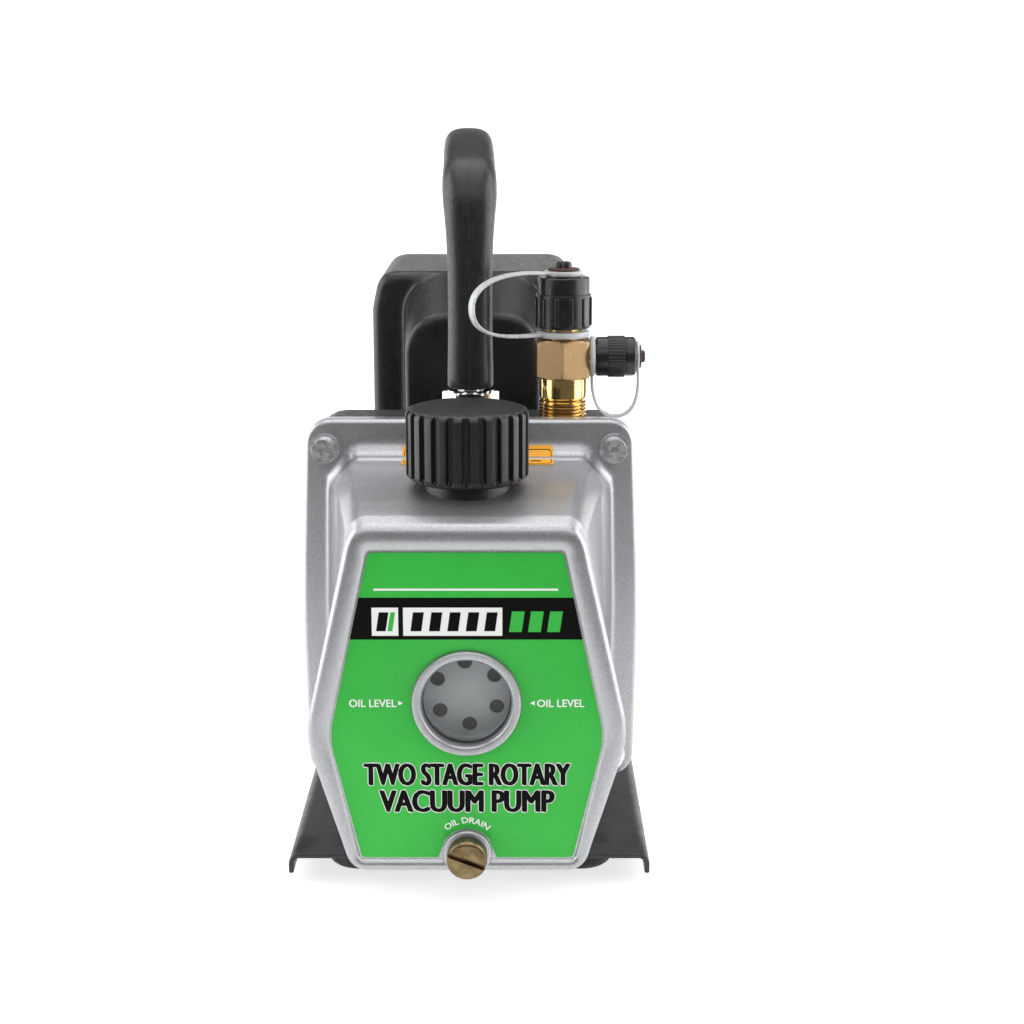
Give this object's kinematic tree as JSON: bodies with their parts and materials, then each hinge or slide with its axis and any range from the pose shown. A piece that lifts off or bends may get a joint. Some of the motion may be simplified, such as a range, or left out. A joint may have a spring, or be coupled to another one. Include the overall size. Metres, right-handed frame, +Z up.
{
  "type": "hvac vacuum pump",
  "caption": "Two-stage rotary vane vacuum pump with sloped oil tank, sight glass, capped brass intake, finned motor, rear fan cover and carry handle on a bent steel base plate.",
  "frame": {"origin": "middle of the footprint, on the floor under the rubber feet", "axes": "+Z up, +X to the right seen from the front, -Y towards the oil tank and sight glass, +Y towards the motor fan"},
  "size_m": [0.128, 0.3, 0.2593],
  "materials": {
    "base_paint": "semi-gloss powder coat",
    "tank_paint": "silver metallic paint, fine flake",
    "black_casting": "black paint on cast aluminium, satin",
    "hood_plastic": "fine spark-eroded texture",
    "handle_plastic": "fine leather-like moulded grain",
    "cap_plastic": "fine matt texture",
    "inlet_plastic": "smooth",
    "black_rubber": "satin",
    "seal_rubber": "satin",
    "spider_rubber": "satin",
    "lens": "clear, polished",
    "reflector_white": "pale grey, smooth",
    "green_label": "printed film, satin gloss",
    "orange_label": "printed film, satin gloss",
    "strap": "translucent, soft",
    "brass": "turned and polished, hexagon satin",
    "yellow_zinc": "yellow passivated, worn",
    "chrome": "polished plating",
    "zinc_screw": "bright zinc",
    "black_screw": "black oxide",
    "machined_iron": "ground faces",
    "machined_steel": "ground and turned",
    "spring_steel": "polished",
    "raw_aluminium": "as cast, machined seats",
    "lamination": "stacked sheets, varnished",
    "copper": "enamelled copper, varnished",
    "vane_carbon": "fine ground composite",
    "rocker_red": "smooth"
  },
  "bodies": {
    "pump_body": {"base_plate": "base_paint", "rubber_feet": "black_rubber", "base_screws": "zinc_screw", "oil_tank": "tank_paint", "tank_gasket": "black_rubber", "tank_screws": "zinc_screw", "sight_glass_lens": "lens", "sight_glass_o_ring": "black_rubber", "sight_glass_reflector": "reflector_white", "sight_glass_snap_ring": "spring_steel", "front_label": "green_label", "caution_label": "orange_label", "filler_neck": "cap_plastic", "oil_baffle": "spring_steel", "pump_bracket": "black_casting", "shaft_seal": "black_rubber", "high_stage_cylinder": "machined_iron", "middle_plate": "machined_iron", "low_stage_cylinder": "machined_iron", "module_end_cover": "machined_iron", "module_bolts": "black_screw", "exhaust_valve_stop": "machined_steel", "intake_fitting": "brass", "intake_strainer": "spring_steel", "handle": "handle_plastic", "handle_nut": "chrome", "handle_screws": "zinc_screw", "motor_housing": "black_casting", "front_end_bell": "black_casting", "rear_end_bell": "black_casting", "motor_bolts": "zinc_screw", "stator_core": "lamination", "stator_windings": "copper", "ball_bearings": "machined_steel", "fan_cover": "hood_plastic", "fan_cover_screws": "black_screw", "motor_hood": "hood_plastic", "run_capacitor": "raw_aluminium", "power_inlet": "inlet_plastic", "switch_bezel": "inlet_plastic"},
    "shaft_group": {"pump_rotors": "machined_steel", "rotor_vanes": "vane_carbon", "vane_springs": "spring_steel", "shaft_coupling": "raw_aluminium", "coupling_spider": "spider_rubber", "motor_rotor": "machined_steel", "cooling_fan": "inlet_plastic"},
    "ball_train": {"bearing_balls": "chrome"},
    "filler_seal": {"filler_cap_seal": "seal_rubber"},
    "filler_cap": {"filler_cap": "cap_plastic"},
    "drain_seal": {"drain_plug_seal": "black_rubber"},
    "drain_plug": {"drain_plug": "yellow_zinc"},
    "top_cap_seal": {"top_cap_seal": "black_rubber", "top_cap_tether": "strap"},
    "top_cap": {"top_flare_cap": "cap_plastic"},
    "side_cap_seal": {"side_cap_seal": "black_rubber", "side_cap_tether": "strap"},
    "side_cap": {"side_flare_cap": "cap_plastic"},
    "rocker": {"switch_rocker": "rocker_red"},
    "valve_leaf": {"exhaust_valve_leaf": "spring_steel"}
  },
  "joints": [
    {"name": "shaft_spin", "type": "hinge", "parent": "pump_body", "child": "shaft_group", "pos_m": [0, -0.019, 0.086], "axis": [0, 1, 0], "continuous": true},
    {"name": "ball_train_spin", "type": "hinge", "parent": "pump_body", "child": "ball_train", "pos_m": [0, -0.019, 0.086], "axis": [0, 1, 0], "continuous": true},
    {"name": "filler_cap_lift", "type": "slide", "parent": "pump_body", "child": "filler_seal", "axis": [0, 0, 1], "range_m": [0, 0.012]},
    {"name": "filler_cap_turn", "type": "hinge", "parent": "filler_seal", "child": "filler_cap", "pos_m": [0, -0.111, 0.15], "axis": [0, 0, 1], "range_deg": [0, 1442]},
    {"name": "drain_plug_lift", "type": "slide", "parent": "pump_body", "child": "drain_seal", "axis": [0, -1, 0], "range_m": [0, 0.0075]},
    {"name": "drain_plug_turn", "type": "hinge", "parent": "drain_seal", "child": "drain_plug", "pos_m": [0, -0.147, 0.022], "axis": [0, -1, 0], "range_deg": [0, 2162]},
    {"name": "top_cap_lift", "type": "slide", "parent": "pump_body", "child": "top_cap_seal", "axis": [0, 0, 1], "range_m": [0, 0.00847], "deforming": ["top_cap_tether"]},
    {"name": "top_cap_turn", "type": "hinge", "parent": "top_cap_seal", "child": "top_cap", "pos_m": [0.0339, -0.057, 0.195], "axis": [0, 0, 1], "range_deg": [0, 2162]},
    {"name": "side_cap_lift", "type": "slide", "parent": "pump_body", "child": "side_cap_seal", "axis": [1, 0, 0], "range_m": [0, 0.00762], "deforming": ["side_cap_tether"]},
    {"name": "side_cap_turn", "type": "hinge", "parent": "side_cap_seal", "child": "side_cap", "pos_m": [0.05, -0.057, 0.1798], "axis": [1, 0, 0], "range_deg": [0, 2162]},
    {"name": "switch_rock", "type": "hinge", "parent": "pump_body", "child": "rocker", "pos_m": [0.027, 0.101, 0.168], "axis": [-1, 0, 0], "range_deg": [0, 20]},
    {"name": "exhaust_leaf_lift", "type": "hinge", "parent": "pump_body", "child": "valve_leaf", "pos_m": [0.01, -0.104, 0.1242], "axis": [0, 1, 0], "range_deg": [0, 5], "stiffness_Nm_per_rad": 0.05}
  ],
  "couplings": [
    {"joint": "ball_train_spin", "follows": "shaft_spin", "ratio": 0.386},
    {"joint": "filler_cap_turn", "follows": "filler_cap_lift", "rad_per_m": 2094.4},
    {"joint": "drain_plug_turn", "follows": "drain_plug_lift", "rad_per_m": 5026.5},
    {"joint": "top_cap_turn", "follows": "top_cap_lift", "rad_per_m": 4452.7},
    {"joint": "side_cap_turn", "follows": "side_cap_lift", "rad_per_m": 4947.4}
  ]
}
